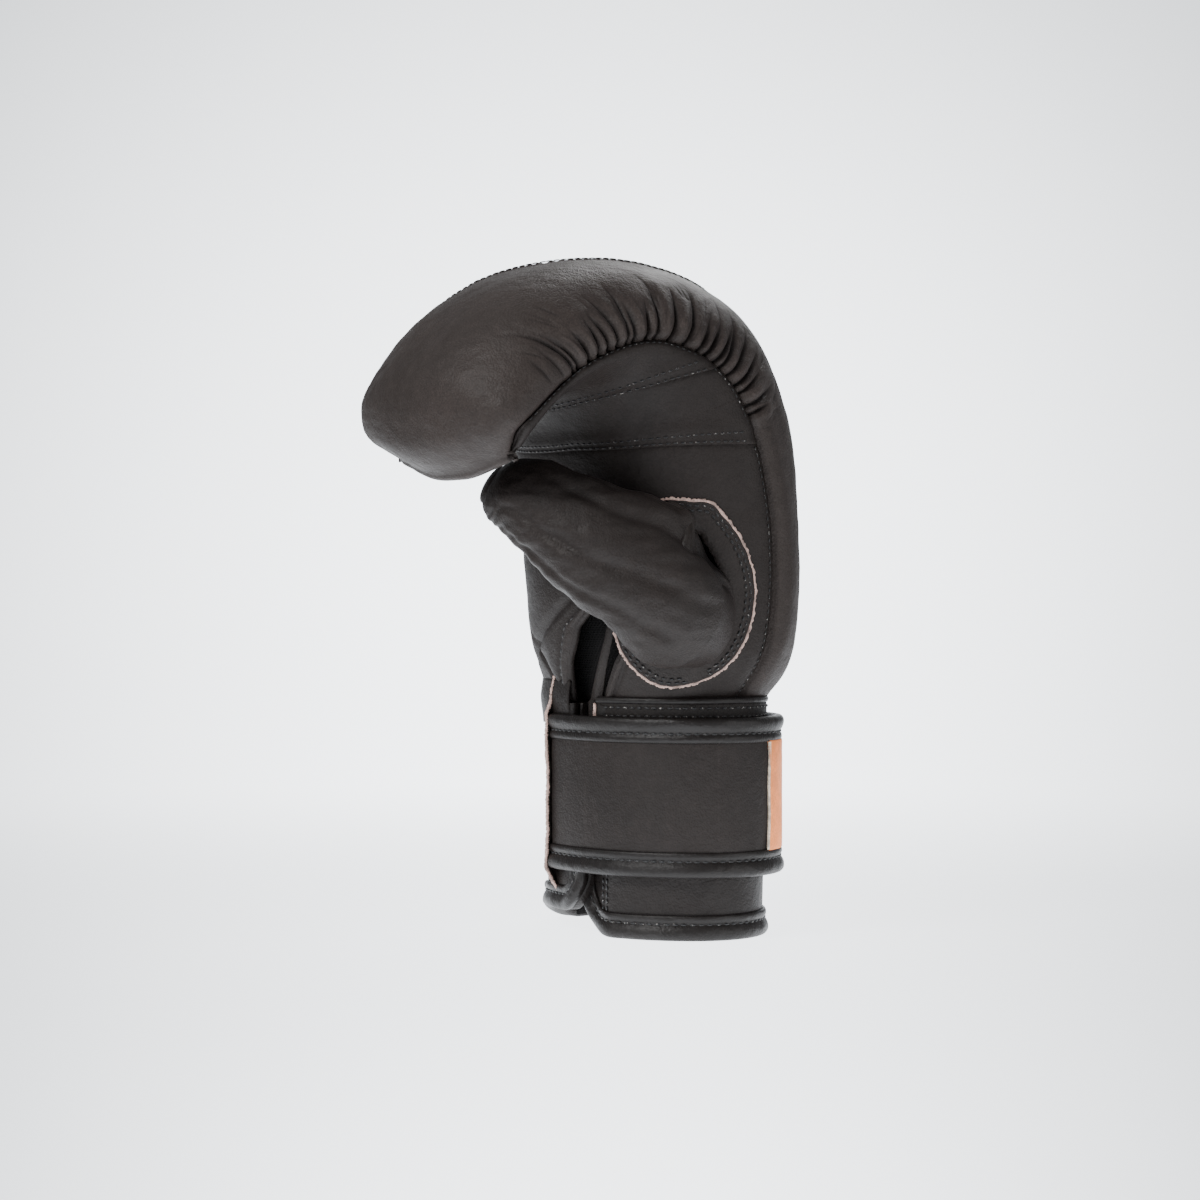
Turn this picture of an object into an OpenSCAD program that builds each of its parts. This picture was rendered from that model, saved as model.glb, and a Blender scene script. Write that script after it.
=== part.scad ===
// Boxing glove for the right hand: a curled mitt with a bound thumb stall, a padded cuff
// with a slit at the heel of the palm, and a hook-and-loop wrist strap.
// Axes: -X palm, +X back of the hand, -Y thumb side, +Y little-finger side, +Z knuckles.
// The glove stands on its cuff, and the origin is under the middle of its outline.

/* [Mitt] */
// Height at which the mitt is sewn to the cuff
mitt_z = 89; // [86:1:92]
// Extra half width of the mitt, outside and inside alike
mitt_spread = 0; // [-3:0.5:3]
// Station along the mitt where the fingers fold
finger_split = 4.3; // [4.1:0.1:4.6]
// Station of the seam across the palm, below the fold of the fingers
palm_seam = 3.7; // [3.5:0.1:3.9]

/* [Skins] */
// Leather thickness
leather = 1.6; // [1.2:0.1:2]
// Lining thickness
lining = 0.8; // [0.6:0.1:1]
// Air left between two layers
layer_gap = 0.3; // [0.2:0.05:0.4]
// Share of the back padding that is the firm outer layer
firm_share = 0.45; // [0.3:0.05:0.6]
// Padding in the thumb stall
thumb_pad = 4; // [3:0.1:5]

/* [Cuff] */
// Half depth of the cuff, palm to back
cuff_a = 36; // [34:0.5:38]
// Half width of the cuff, thumb side to little-finger side
cuff_b = 50; // [48:0.5:52]
// Padding in the cuff wall
cuff_pad = 6; // [4:0.5:7]
// Width of the slit at the heel of the palm, in degrees
slit_w = 6; // [4:1:8]
// Height of the binding round the bottom edge
cuff_bind_h = 9; // [7:0.5:11]

/* [Strap] */
// Bottom edge of the strap
strap_z = 24; // [20:1:28]
// Height of the strap
strap_h = 60; // [54:1:60]
// Height of each bound edge
strap_bind_h = 9; // [7:0.5:11]
// Angle of the strap's sewn root
strap_root = 200; // [197:1:204]
// Angle of the first fold of the strap
strap_fold_1 = 140; // [136:1:144]
// Angle of the second fold of the strap
strap_fold_2 = 78; // [74:1:82]
// Angle where the strap's free end stops
strap_end = -15; // [-20:1:-10]

/* [Hidden] */

// The mitt's middle is forward of the cuff's, so everything moves by this much
origin_shift = [36.26, 6, 0];

hide = [0.24, 0.22, 0.21];
foam = [0.86, 0.83, 0.74];
cloth = [0.16, 0.16, 0.17];
raw = [0.90, 0.76, 0.70];
tan = [0.85, 0.62, 0.44];

// Mitt stations from the wrist to the fingertips.
// Each row: seam x, z; crown of the hood x, z; middle of the palm x, z; half width.
MITT = [[   2, mitt_z,   36, mitt_z,   -35, mitt_z, 47],
        [  10, 112,      44, 108,      -42, 112,    56],
        [  12, 152,      45, 152,      -47, 152,    57],
        [   4, 191,      41, 203,    -48.5, 177,    56],
        [ -12, 214,      18, 242,      -54, 193,    55],
        [ -40, 223.5,   -29, 257.5,    -65, 201.5,  53],
        [ -70, 214,     -81, 246,      -77, 200,    51],
        [ -94, 194,    -115, 213,      -87, 189,    49],
        [ -99, 185,    -115, 187,      -91, 179,    45],
        [ -97, 176,    -101, 173.5,    -95, 174.5,  38]];
// The hand's own space inside the mitt, in the same form
HAND = [[   0, mitt_z,   27, mitt_z,   -27, mitt_z, 38],
        [   2, 111,      18, 109,      -32, 111.5,  47],
        [   0, 152,      15, 152,      -37, 152,    48],
        [  -8, 189,       9, 194.5,    -38, 180,    47.5],
        [ -25, 213,     -11, 223,      -46, 199,    46.5],
        [ -53, 222,     -47, 234,      -61, 209.5,  45],
        [ -79, 216,     -80, 227,      -78, 207,    43.5],
        [ -98, 199,    -104, 204.5,    -91, 193,    41.5],
        [ -99, 192,    -103, 195,      -95, 188.5,  38],
        [ -99, 188,   -100.5, 189,   -97.5, 187,    34]];
tip = len(MITT) - 1;

// Thumb stall past its base. Each row: side nearest the palm x, y; outer side x, y;
// height of the middle; half height; lean of the section back from upright.
THUMB = [[-51, -26,     -18, -66,     132, 32, 5],
         [-52, -27,     -33, -69.5,   136.5, 29.5, 12],
         [-52, -26.5,   -47.5, -64,   143, 26.5, 20],
         [-53.5, -22.5, -65.5, -51,   150, 22.5, 28],
         [-59, -15,     -75.5, -38.5, 158, 19, 30],
         [-66, -6.5,    -83, -26.5,   166, 16, 30],
         [-71.5, 1,     -86, -14.5,   170, 12, 30],
         [-77, 2.5,     -83.5, -4.5,  171.5, 5, 30]];
// Base ring of the thumb stall: station and angle of its middle, and its half sizes
thumb_at = [1.5, 38];
thumb_half = [1.0, 25.5];
thumb_lift = 0.6;

// Rows of stations and columns of angles that every layer of the mitt shares
row_gap = 0.02;
edge_turn = 1.1;
LOWER_U = [0, 0.3, 0.62, 1, 1.3, 1.65, 2, 2.3, 2.6, 2.9, 3.2, 3.45, palm_seam - row_gap];
MIDDLE_U = [palm_seam + row_gap, 4, finger_split - row_gap];
HAND_U = concat([for (i = [0:len(LOWER_U) - 2]) LOWER_U[i]], [palm_seam, 4, finger_split - row_gap]);
finger_rows = 13;
FINGER_U = [for (i = [0:finger_rows])
            finger_split + row_gap + i * (tip - finger_split - row_gap) / finger_rows];
PALM_T = [edge_turn, 6, 12, 18, 24, 32, 40, 48.5, 57, 66, 75, 84, 92, 101, 112, 124, 138, 152, 166,
          180 - edge_turn];
hood_cols = 14;
HOOD_T = [for (j = [0:hood_cols]) edge_turn + j * (180 - 2 * edge_turn) / hood_cols];
LOOP_T = concat(HOOD_T, [for (j = [len(PALM_T) - 1:-1:0]) 360 - PALM_T[j]]);
FULL = function(i, j) true;
// The thumb's way in through the palm, and the slit above the cuff
thumb_rows = [2, 7];
thumb_cols = [4, 8];
slit_rows = 4;
slit_col = 11;
PALM_OPEN = function(i, j)
    !(i >= thumb_rows[0] && i < thumb_rows[1] && j >= thumb_cols[0] && j < thumb_cols[1])
    && !(i < slit_rows && j == slit_col);
LOOP_OPEN = function(i, j)
    let (palm_j = len(LOOP_T) - 2 - j)
    j < len(HOOD_T) || PALM_OPEN(i, palm_j);

// ---- Curves and layers --------------------------------------------------------------------

// Smooth curve through the rows of a table, at station u
function through(rows, u) =
    let (last = len(rows) - 1, k = min(floor(u), last - 1), t = u - k,
         p1 = rows[k], p2 = rows[k + 1],
         p0 = k > 0 ? rows[k - 1] : 2 * p1 - p2,
         p3 = k < last - 1 ? rows[k + 2] : 2 * p2 - p1)
    p1 + t / 2 * (p2 - p0 + t * (2 * p0 - 5 * p1 + 4 * p2 - p3 + t * (3 * (p1 - p2) + p3 - p0)));

function bulge(v, power) = sign(v) * pow(abs(v), power);
fullness = 0.85;

// Point of a section: angles 0 to 180 run over the hood, 180 to 360 back through the palm
function section(row, t) =
    let (over = sin(t) >= 0, r = bulge(abs(sin(t)), fullness),
         dx = over ? row[2] - row[0] : row[4] - row[0],
         dz = over ? row[3] - row[1] : row[5] - row[1])
    [row[0] + dx * r, -(row[6] + mitt_spread) * bulge(cos(t), fullness), row[1] + dz * r];
function outer_at(u, t) = section(through(MITT, u), t);
function inner_at(u, t) = section(through(HAND, u), t);

// The mitt's surface at a depth below the skin, or at a height above the hand's own space
function mitt_layer(us, ts, depth, from_hand = false) =
    [for (u = us) [for (t = ts)
        let (a = outer_at(u, t), b = inner_at(u, t), full = norm(b - a))
        from_hand ? b + (a - b) * depth / full : a + (b - a) * depth / full]];
// A surface part of the way through the padding
function mitt_share(us, ts, share, lift) =
    [for (u = us) [for (t = ts)
        let (a = outer_at(u, t), b = inner_at(u, t))
        a + (b - a) * (share + lift / norm(b - a))]];
function palm_side(ts) = [for (t = ts) 360 - t];

function unit(v) = v / norm(v);
function mean(points) = [for (k = [0:2]) [for (p = points) p[k]] * [for (p = points) 1 / len(points)]];
function thumb_centre(s) =
    let (c = through(THUMB, s)) [(c[0] + c[2]) / 2, (c[1] + c[3]) / 2, c[4]];
function thumb_ring(s, t) =
    let (c = through(THUMB, s), depth = [c[0] - c[2], c[1] - c[3], 0], side = unit(depth),
         back = cross(side, [0, 0, 1]), up = cos(c[6]) * [0, 0, 1] + sin(c[6]) * back)
    thumb_centre(s) + c[5] * cos(t) * up + depth / 2 * sin(t);
du_step = 0.02;
dt_step = 0.5;
// The stall's base follows the palm's skin, so it sits on it all the way round
function on_palm(u, t, lift) =
    let (p = outer_at(u, 360 - t), du = outer_at(u + du_step, 360 - t) - p,
         dt = outer_at(u, 360 - dt_step - t) - p)
    p + lift * unit(cross(du, dt));
function thumb_base(t, scale, lift) =
    on_palm(thumb_at[0] + thumb_half[0] * scale * cos(t), thumb_at[1] + thumb_half[1] * scale * sin(t), lift);
thumb_cols_n = 20;
THUMB_T = [for (j = [0:thumb_cols_n - 1]) j * 360 / thumb_cols_n];
THUMB_S = [0, 0.7, 1.4, 2.1, 2.8, 3.5, 4.2, 4.9, 5.5, 6.1, 6.6, 7];
thumb_core = 0.76;
// Padding and lining start a little above the seam, at the second section
pad_start = 1;
base_r = 27;
function thumb_layer(depth, first = -1) =
    [for (i = [first:len(THUMB_S) - 1]) [for (t = THUMB_T)
        i < 0 ? thumb_base(t, 1 - depth / base_r, thumb_lift)
              : let (a = thumb_ring(THUMB_S[i], t), b = thumb_centre(THUMB_S[i] * thumb_core))
                a + (b - a) * depth / norm(b - a)]];

// ---- Solids -------------------------------------------------------------------------------

// One closed sheet between two grids of points. keep says which cells it has, wrap joins the
// last column to the first, and cap closes the last row.
module sheet_solid(outer, inner, keep = FULL, wrap = false, cap = false) {
    rows = len(outer) - 1;
    width = len(outer[0]);
    cols = wrap ? width : width - 1;
    half = (rows + 1) * width;
    flat_outer = [for (row = outer) each row];
    flat_inner = [for (row = inner) each row];
    at = function(i, j) i * width + (j % width);
    has = function(i, j)
        i >= 0 && i < rows && (wrap || (j >= 0 && j < cols)) && keep(i, wrap ? (j + cols) % cols : j);
    rim = function(p, q) [[q, p, p + half], [q, p + half, q + half]];
    faces = [for (i = [0:rows - 1]) for (j = [0:cols - 1]) if (has(i, j))
        let (a = at(i, j), b = at(i + 1, j), c = at(i + 1, j + 1), d = at(i, j + 1))
        each concat(
            [[a, b, c], [a, c, d], [a + half, c + half, b + half], [a + half, d + half, c + half]],
            has(i, j - 1) ? [] : rim(a, b),
            has(i + 1, j) || (cap && i == rows - 1) ? [] : rim(b, c),
            has(i, j + 1) ? [] : rim(c, d),
            has(i - 1, j) ? [] : rim(d, a))];
    closing = !cap ? [] : [for (j = [0:width - 1])
        let (b = at(rows, j), c = at(rows, j + 1))
        each [[c, b, 2 * half], [b + half, c + half, 2 * half + 1]]];
    ends = cap ? [mean(outer[rows]), mean(inner[rows])] : [];
    translate(origin_shift) polyhedron(concat(flat_outer, flat_inner, ends), concat(faces, closing));
}

// Wall of the cuff or the strap: a band of an ellipse between two angles
band_step = 5;
function ellipse_at(a, b, t) = [a * cos(t), -b * sin(t)];
module band(grow, thick, from, to, z, height, shift = [0, 0, 0]) {
    n = ceil(abs(to - from) / band_step);
    outside = [for (i = [0:n]) ellipse_at(cuff_a + grow, cuff_b + grow, from + i * (to - from) / n)];
    inside = [for (i = [n:-1:0])
        ellipse_at(cuff_a + grow - thick, cuff_b + grow - thick, from + i * (to - from) / n)];
    translate(origin_shift + shift + [0, 0, z]) linear_extrude(height) polygon(concat(outside, inside));
}

// ---- Hand part of the mitt ----------------------------------------------------------------

module hood_leather_back() color(hide)
    sheet_solid(mitt_layer(HAND_U, HOOD_T, 0), mitt_layer(HAND_U, HOOD_T, leather));
module back_foam_firm() color(foam)
    sheet_solid(mitt_layer(HAND_U, HOOD_T, leather + layer_gap), mitt_share(HAND_U, HOOD_T, firm_share, 0));
module back_foam_soft() color(foam * 0.92)
    sheet_solid(mitt_share(HAND_U, HOOD_T, firm_share, layer_gap),
                mitt_layer(HAND_U, HOOD_T, lining + layer_gap, true));
module palm_leather_lower() color(hide)
    sheet_solid(mitt_layer(LOWER_U, palm_side(PALM_T), leather), mitt_layer(LOWER_U, palm_side(PALM_T), 0),
                PALM_OPEN);
module palm_leather_middle() color(hide * 1.1)
    sheet_solid(mitt_layer(MIDDLE_U, palm_side(PALM_T), leather), mitt_layer(MIDDLE_U, palm_side(PALM_T), 0));
module palm_foam() color(foam)
    sheet_solid(mitt_layer(HAND_U, palm_side(PALM_T), lining + layer_gap, true),
                mitt_layer(HAND_U, palm_side(PALM_T), leather + layer_gap), PALM_OPEN);
module hand_lining() color(cloth)
    sheet_solid(mitt_layer(HAND_U, LOOP_T, lining, true), mitt_layer(HAND_U, LOOP_T, 0, true),
                LOOP_OPEN, wrap = true);

// Padded bar that the fingers close round
bar_r = 7;
bar_len = 56;
bar_at = [-25, 0, 184.5];
module grip_bar() color(cloth)
    translate(origin_shift + bar_at) rotate([90, 0, 0])
        cylinder(h = bar_len, r = bar_r, center = true, $fn = 48);

// Raw edge of the palm leather, turned out round the thumb stall
flange_inner = 1.07;
flange_outer = 1.17;
flange_lift = 0.35;
flange_thick = 1;
module thumb_flange() color(raw) {
    ring = function(scale, lift) [for (t = THUMB_T) thumb_base(t, scale, lift)];
    top = flange_lift + flange_thick;
    sheet_solid([ring(flange_inner, top), ring(flange_outer, top)],
                [ring(flange_inner, flange_lift), ring(flange_outer, flange_lift)], wrap = true);
}

// ---- Fingers ------------------------------------------------------------------------------

module hood_leather_fingers() color(hide)
    sheet_solid(mitt_layer(FINGER_U, HOOD_T, 0), mitt_layer(FINGER_U, HOOD_T, leather));
module finger_foam_firm() color(foam)
    sheet_solid(mitt_layer(FINGER_U, HOOD_T, leather + layer_gap),
                mitt_share(FINGER_U, HOOD_T, firm_share, 0));
module finger_foam_soft() color(foam * 0.92)
    sheet_solid(mitt_share(FINGER_U, HOOD_T, firm_share, layer_gap),
                mitt_layer(FINGER_U, HOOD_T, lining + layer_gap, true));
module palm_leather_fingers() color(hide * 1.1)
    sheet_solid(mitt_layer(FINGER_U, palm_side(PALM_T), leather), mitt_layer(FINGER_U, palm_side(PALM_T), 0));
module finger_palm_foam() color(foam)
    sheet_solid(mitt_layer(FINGER_U, palm_side(PALM_T), lining + layer_gap, true),
                mitt_layer(FINGER_U, palm_side(PALM_T), leather + layer_gap));
module finger_lining() color(cloth)
    sheet_solid(mitt_layer(FINGER_U, LOOP_T, lining, true), mitt_layer(FINGER_U, LOOP_T, 0, true),
                wrap = true, cap = true);

// ---- Thumb --------------------------------------------------------------------------------

thumb_foam_in = leather + layer_gap + thumb_pad;
module thumb_leather() color(hide * 1.2)
    sheet_solid(thumb_layer(0), thumb_layer(leather), wrap = true, cap = true);
module thumb_foam() color(foam)
    sheet_solid(thumb_layer(leather + layer_gap, pad_start), thumb_layer(thumb_foam_in, pad_start),
                wrap = true, cap = true);
module thumb_lining() color(cloth)
    sheet_solid(thumb_layer(thumb_foam_in + layer_gap, pad_start),
                thumb_layer(thumb_foam_in + layer_gap + lining, pad_start), wrap = true, cap = true);

// ---- Cuff ---------------------------------------------------------------------------------

cuff_h = mitt_z - 0.5;
slit_from = 180 - slit_w / 2;
slit_to = 180 + slit_w / 2;
seam_turn = 0.3;
lining_in = leather + cuff_pad + 2 * layer_gap;
module cuff_leather_radial() color(hide) band(0, leather, seam_turn, slit_from, 0, cuff_h);
module cuff_leather_ulnar() color(hide) band(0, leather, slit_to, 360 - seam_turn, 0, cuff_h);
module cuff_foam_radial() color(foam)
    band(-leather - layer_gap, cuff_pad, seam_turn, slit_from, 0, cuff_h);
module cuff_foam_ulnar() color(foam)
    band(-leather - layer_gap, cuff_pad, slit_to, 360 - seam_turn, 0, cuff_h);
module cuff_lining() color(cloth) band(-lining_in, lining, slit_to - 360, slit_from, 0, cuff_h);
// Strip behind the slit that keeps the two flaps together
gusset_turn = 10;
gusset_z = 30;
gusset_thick = 1;
module slit_gusset() color(cloth)
    band(-lining_in - lining - layer_gap, gusset_thick, 180 - gusset_turn, 180 + gusset_turn,
         gusset_z, cuff_h - gusset_z);
// Rolled seam between the cuff and the mitt
welt_h = 3.5;
welt_thick = 2.5;
module cuff_welt() color(hide)
    band(layer_gap + welt_thick, welt_thick, slit_to - 360, slit_from, mitt_z - welt_h, welt_h - 0.5);
bind_thick = 0.9;
bind_turn = 1;
module cuff_binding(from, to) band(layer_gap + bind_thick, bind_thick, from, to, 0, cuff_bind_h);
module cuff_binding_radial() color(hide * 1.15) cuff_binding(seam_turn, slit_from - bind_turn);
module cuff_binding_ulnar() color(hide * 1.15) cuff_binding(slit_to + bind_turn, 360 - seam_turn);

// ---- Strap --------------------------------------------------------------------------------

strap_in = 2.1;
strap_thick = 2.4;
strap_out = strap_in + strap_thick;
strap_gap = 0.1;
fold_gap = 0.4;
root_turn = 2;
// Patches of hook, loop and plain tan leather on the strap's free end
patch_margin = 4;
patch_z = strap_z + strap_bind_h + patch_margin;
patch_h = strap_h - 2 * (strap_bind_h + patch_margin);
patch_from = strap_end + 3;
patch_to = strap_fold_2 - 6;
hook_thick = 0.6;
label_thick = 1.2;
label_margin = 0.4;
label_from = strap_fold_2 - 2;
label_to = strap_end + 1;
// The strap is pulled round to the thumb side, so it stands off the cuff most there
strap_shift = [1.3, -1.3, 0];
module strap_part(from, to) band(strap_out, strap_thick, from, to, strap_z, strap_h, strap_shift);
module strap_bindings(from, to) {
    for (z = [strap_z, strap_z + strap_h - strap_bind_h])
        band(strap_out + strap_gap + bind_thick, bind_thick, from, to, z, strap_bind_h, strap_shift);
}
module strap_root_seam() color(raw)
    band(strap_out, strap_thick, strap_root + fold_gap + root_turn, strap_root + fold_gap,
         strap_z, strap_h, strap_shift);
module loop_patch() color(cloth)
    band(layer_gap + bind_thick, bind_thick, patch_from, patch_to, patch_z, patch_h);
module strap_front() color(hide) strap_part(strap_root - fold_gap, strap_fold_1 + fold_gap);
module strap_front_bindings() color(hide * 1.15)
    strap_bindings(strap_root - fold_gap, strap_fold_1 + fold_gap);
module strap_side() color(hide) strap_part(strap_fold_1 - fold_gap, strap_fold_2 + fold_gap);
module strap_side_bindings() color(hide * 1.15)
    strap_bindings(strap_fold_1 - fold_gap, strap_fold_2 + fold_gap);
module strap_tab() color(hide) strap_part(strap_fold_2 - fold_gap, strap_end);
module strap_tab_bindings() color(hide * 1.15) strap_bindings(strap_fold_2 - fold_gap, strap_end);
// Hooks on the inside of the free end, facing the loops on the cuff
module hook_patch() color(cloth)
    band(strap_in - strap_gap / 2, hook_thick, patch_from, patch_to, patch_z, patch_h, strap_shift);
module label_patch() color(tan)
    band(strap_out + strap_gap + label_thick, label_thick, label_from, label_to,
         strap_z + strap_bind_h + label_margin, strap_h - 2 * (strap_bind_h + label_margin), strap_shift);

hood_leather_back();
back_foam_firm();
back_foam_soft();
palm_leather_lower();
palm_leather_middle();
palm_foam();
hand_lining();
grip_bar();
thumb_flange();
cuff_leather_radial();
cuff_leather_ulnar();
cuff_foam_radial();
cuff_foam_ulnar();
cuff_lining();
cuff_welt();
cuff_binding_radial();
cuff_binding_ulnar();
slit_gusset();
strap_root_seam();
loop_patch();
hood_leather_fingers();
finger_foam_firm();
finger_foam_soft();
palm_leather_fingers();
finger_palm_foam();
finger_lining();
thumb_leather();
thumb_foam();
thumb_lining();
strap_front();
strap_front_bindings();
strap_side();
strap_side_bindings();
strap_tab();
strap_tab_bindings();
hook_patch();
label_patch();
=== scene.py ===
"""Boxing glove: the looks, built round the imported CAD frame.

Shapes are worked out in the glove's own millimetres (cuff axis at x = y = 0) and moved into
the frame by SHIFT. -X is the palm, -Y the thumb side, +Z the knuckles.
"""
import math

import bmesh
import bpy
import numpy as np
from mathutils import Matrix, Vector, noise


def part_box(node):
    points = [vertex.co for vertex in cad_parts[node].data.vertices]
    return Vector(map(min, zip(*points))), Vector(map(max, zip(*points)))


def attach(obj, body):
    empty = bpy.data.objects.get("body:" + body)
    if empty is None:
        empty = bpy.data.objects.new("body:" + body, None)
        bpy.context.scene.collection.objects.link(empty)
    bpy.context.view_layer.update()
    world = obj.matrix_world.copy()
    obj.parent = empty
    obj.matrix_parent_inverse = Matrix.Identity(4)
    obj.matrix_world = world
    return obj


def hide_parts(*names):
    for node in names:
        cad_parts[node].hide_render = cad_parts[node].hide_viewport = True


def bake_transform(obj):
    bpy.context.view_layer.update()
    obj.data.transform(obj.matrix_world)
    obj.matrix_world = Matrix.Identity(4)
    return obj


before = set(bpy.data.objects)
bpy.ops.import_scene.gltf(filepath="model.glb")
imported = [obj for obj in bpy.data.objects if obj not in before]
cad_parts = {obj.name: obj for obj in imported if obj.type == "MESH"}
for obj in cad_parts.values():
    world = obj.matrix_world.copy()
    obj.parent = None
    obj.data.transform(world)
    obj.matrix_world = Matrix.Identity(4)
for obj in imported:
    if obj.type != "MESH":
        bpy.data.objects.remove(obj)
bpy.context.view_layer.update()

MM = 0.001
# Half widths of the cuff's oval
CUFF_A, CUFF_B = 36.0, 50.0
low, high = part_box("cuff_leather_radial")
SHIFT = np.array([(low[0] + high[0]) / 2, low[1] + CUFF_B * MM, 0.0]) / MM
rng = np.random.default_rng(7)

# Mitt stations from wrist to fingertips.
# Each row: seam x, z; crown x, z; middle of the palm x, z; half width.
MITT_Z = 89.0
MITT = np.array([
    [2, MITT_Z, 36, MITT_Z, -35, MITT_Z, 47],
    [10, 112, 44, 108, -42, 112, 56],
    [12, 152, 45, 152, -47, 152, 57],
    [4, 191, 41, 203, -48.5, 177, 56],
    [-12, 214, 18, 242, -54, 193, 55],
    [-40, 223.5, -29, 257.5, -65, 201.5, 53],
    [-70, 214, -81, 246, -77, 200, 51],
    [-94, 194, -115, 213, -87, 189, 49],
    [-99, 185, -115, 187, -91, 179, 45],
    [-97, 176, -101, 173.5, -95, 174.5, 38]], float)
# Space for the hand inside the mitt, in the same columns
HAND = np.array([
    [0, MITT_Z, 27, MITT_Z, -27, MITT_Z, 38],
    [2, 111, 18, 109, -32, 111.5, 47],
    [0, 152, 15, 152, -37, 152, 48],
    [-8, 189, 9, 194.5, -38, 180, 47.5],
    [-25, 213, -11, 223, -46, 199, 46.5],
    [-53, 222, -47, 234, -61, 209.5, 45],
    [-79, 216, -80, 227, -78, 207, 43.5],
    [-98, 199, -104, 204.5, -91, 193, 41.5],
    [-99, 192, -103, 195, -95, 188.5, 38],
    [-99, 188, -100.5, 189, -97.5, 187, 34]], float)
# Thumb stall. Each row: palm side x, y; outer side x, y; height; half height; lean.
THUMB = np.array([
    [-51, -26, -18, -66, 132, 32, 5],
    [-52, -27, -33, -69.5, 136.5, 29.5, 12],
    [-52, -26.5, -47.5, -64, 143, 26.5, 20],
    [-53.5, -22.5, -65.5, -51, 150, 22.5, 28],
    [-59, -15, -75.5, -38.5, 158, 19, 30],
    [-66, -6.5, -83, -26.5, 166, 16, 30],
    [-71.5, 1, -86, -14.5, 170, 12, 30],
    [-77, 2.5, -83.5, -4.5, 171.5, 5, 30]], float)
# Root of the stall on the palm: station and angle of its middle, its half sizes, and its half size upwards
THUMB_AT, THUMB_HALF, THUMB_ABOVE = (1.5, 38.0), (1.0, 25.5), 0.76
THUMB_HOLE = 1.03
# The slit under the heel: its middle and half width across the palm, in degrees at each station
SLIT_TOP = 1.46
SLIT_U = [0, 0.7, 1.2, SLIT_TOP]
SLIT_MIDDLE = [87.5, 80.4, 72.4, 68.0]
SLIT_HALF = [8.5, 10.8, 13.0, 12.0]
# Where the crown seam runs: station, y
CROWN = np.array([
    [0, -4], [2, -8], [3.2, -14], [4, -20], [4.25, -25], [4.5, -29.6], [4.75, -26], [5, -19.6],
    [5.25, -10.2], [5.5, 2.6], [5.75, 19], [6, 37], [6.4, 48], [7, 51], [8, 51]], float)
CROWN_END = 7.2
FULLNESS = 0.85
TIP = len(MITT) - 1


# Stations of the two seams across the palm, from the thumb-side edge round to the other
def seam_1(x):
    return np.interp(x, [0, 40, 80, 180], [2.94, 3.23, 3.45, 3.45])


def seam_2(x):
    return np.interp(x, [0, 20, 60, 180], [4.12, 4.32, 4.62, 4.62])


# ---- Curves and surfaces ----

def spline(p0, p1, p2, p3, t):
    """Smooth curve from p1 to p2, with t from 0 to 1."""
    return p1 + t / 2 * (p2 - p0 + t * (2 * p0 - 5 * p1 + 4 * p2 - p3 + t * (3 * (p1 - p2) + p3 - p0)))


def through(rows, u):
    """Smooth curve through the rows of a table, at stations u."""
    u = np.asarray(u, float)
    pad = np.vstack([2 * rows[0] - rows[1], rows, 2 * rows[-1] - rows[-2]])
    k = np.clip(np.floor(u).astype(int), 0, len(rows) - 2)
    return spline(pad[k], pad[k + 1], pad[k + 2], pad[k + 3], (u - k)[..., None])


def closed_curve(values, at):
    """Smooth closed curve through values."""
    k = np.floor(at).astype(int)
    return spline(*(values[(k + o) % len(values)] for o in (-1, 0, 1, 2)), at - k)


def powered(v, power):
    """Power of the size of v, with its sign kept."""
    return np.sign(v) * np.abs(v) ** power


def rounded(width, height, count, power=2.6):
    """Superellipse loop, from -width to width and -height to height."""
    a = np.linspace(0, 2 * math.pi, count, endpoint=False)
    return width * powered(np.cos(a), 2 / power), height * powered(np.sin(a), 2 / power)


def section(rows, u, t):
    """Point of the mitt: t from 0 to 180 crosses the hood, 180 to 360 comes back over the palm."""
    row = through(rows, u)
    a = np.radians(t)
    over = np.sin(a) >= 0
    r = powered(np.abs(np.sin(a)), FULLNESS)
    dx = np.where(over, row[..., 2], row[..., 4]) - row[..., 0]
    dz = np.where(over, row[..., 3], row[..., 5]) - row[..., 1]
    y = -row[..., 6] * powered(np.cos(a), FULLNESS)
    return np.stack([row[..., 0] + dx * r, y, row[..., 1] + dz * r], -1)


def unit(v):
    return v / np.maximum(np.linalg.norm(v, axis=-1, keepdims=True), 1e-9)


def mitt_face(u, t, du=0.01, dt=0.4):
    """Point of the mitt's plain shape, and its outward normal."""
    u, t = np.broadcast_arrays(np.asarray(u, float), np.asarray(t, float))
    along = section(MITT, np.minimum(u + du, TIP), t) - section(MITT, np.maximum(u - du, 0), t)
    across = section(MITT, u, t + dt) - section(MITT, u, t - dt)
    return section(MITT, u, t), unit(np.cross(across, along))


def smooth(low_edge, high_edge, x):
    t = np.clip((x - low_edge) / (high_edge - low_edge), 0, 1)
    return t * t * (3 - 2 * t)


def bell(x):
    return np.exp(-x * x)


def ripple(p, scale, seed, octaves=2):
    """Smooth noise at every point of an array, from -1 to 1."""
    flat = np.asarray(p, float).reshape(-1, 3) / scale + seed * 17.3
    out = np.zeros(len(flat))
    for f in 2.0 ** np.arange(octaves):
        out += np.array([noise.noise(Vector(q * f)) for q in flat]) / f
    return out.reshape(np.shape(p)[:-1])


def uneven(points, out, *waves):
    """Moves points along out by waves of smooth noise, each (height, scale, seed)."""
    return points + sum(h * ripple(points, scale, seed) for h, scale, seed in waves)[..., None] * out


def run_along(path):
    """Distance along a path at each of its points."""
    return np.concatenate([[0], np.cumsum(np.linalg.norm(np.diff(path, axis=0), axis=1))])


U_FINE = np.linspace(0, TIP, 361)
SEAM_RUN = run_along(section(MITT, U_FINE, 0 * U_FINE))


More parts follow.
